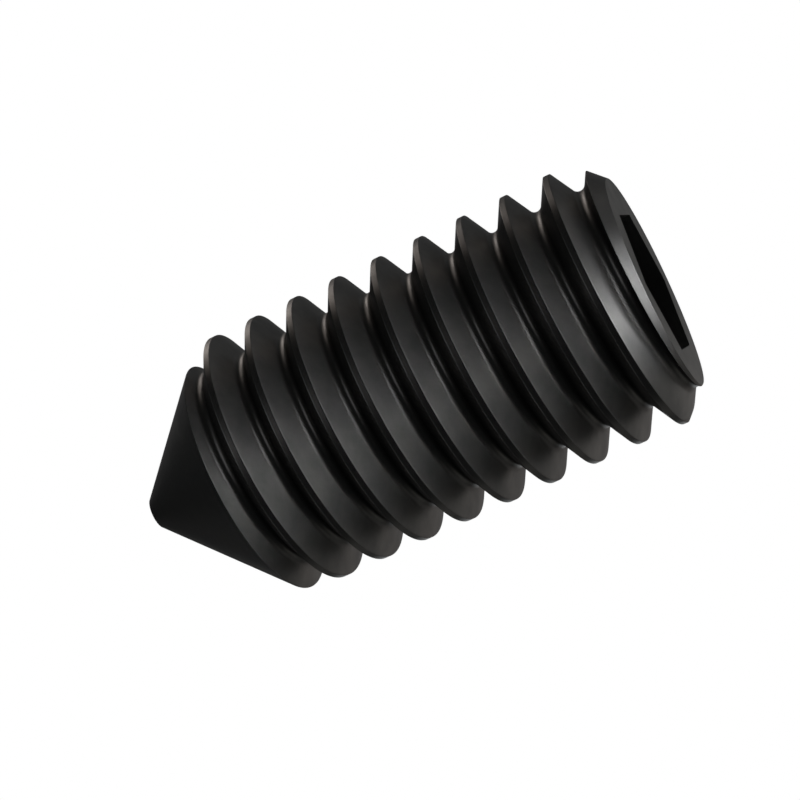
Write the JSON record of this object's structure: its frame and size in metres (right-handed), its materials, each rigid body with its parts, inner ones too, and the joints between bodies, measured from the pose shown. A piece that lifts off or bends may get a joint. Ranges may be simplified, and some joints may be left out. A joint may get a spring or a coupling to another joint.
{
  "type": "set screw",
  "caption": "Headless socket set screw with a full-length right-hand thread, a chamfered six-sided socket end and a cone point, to lock a collar or knob on a shaft.",
  "frame": {"origin": "centre of the socket end's face, which the screw stands on", "axes": "+Z along the screw axis from the socket face to the cone point; +X through one corner of the six-sided socket"},
  "size_m": [0.0058, 0.0058, 0.012],
  "materials": {
    "black_steel": "black oxide, satin, as rolled and turned"
  },
  "bodies": {
    "root": {"set_screw": "black_steel"}
  },
  "joints": []
}
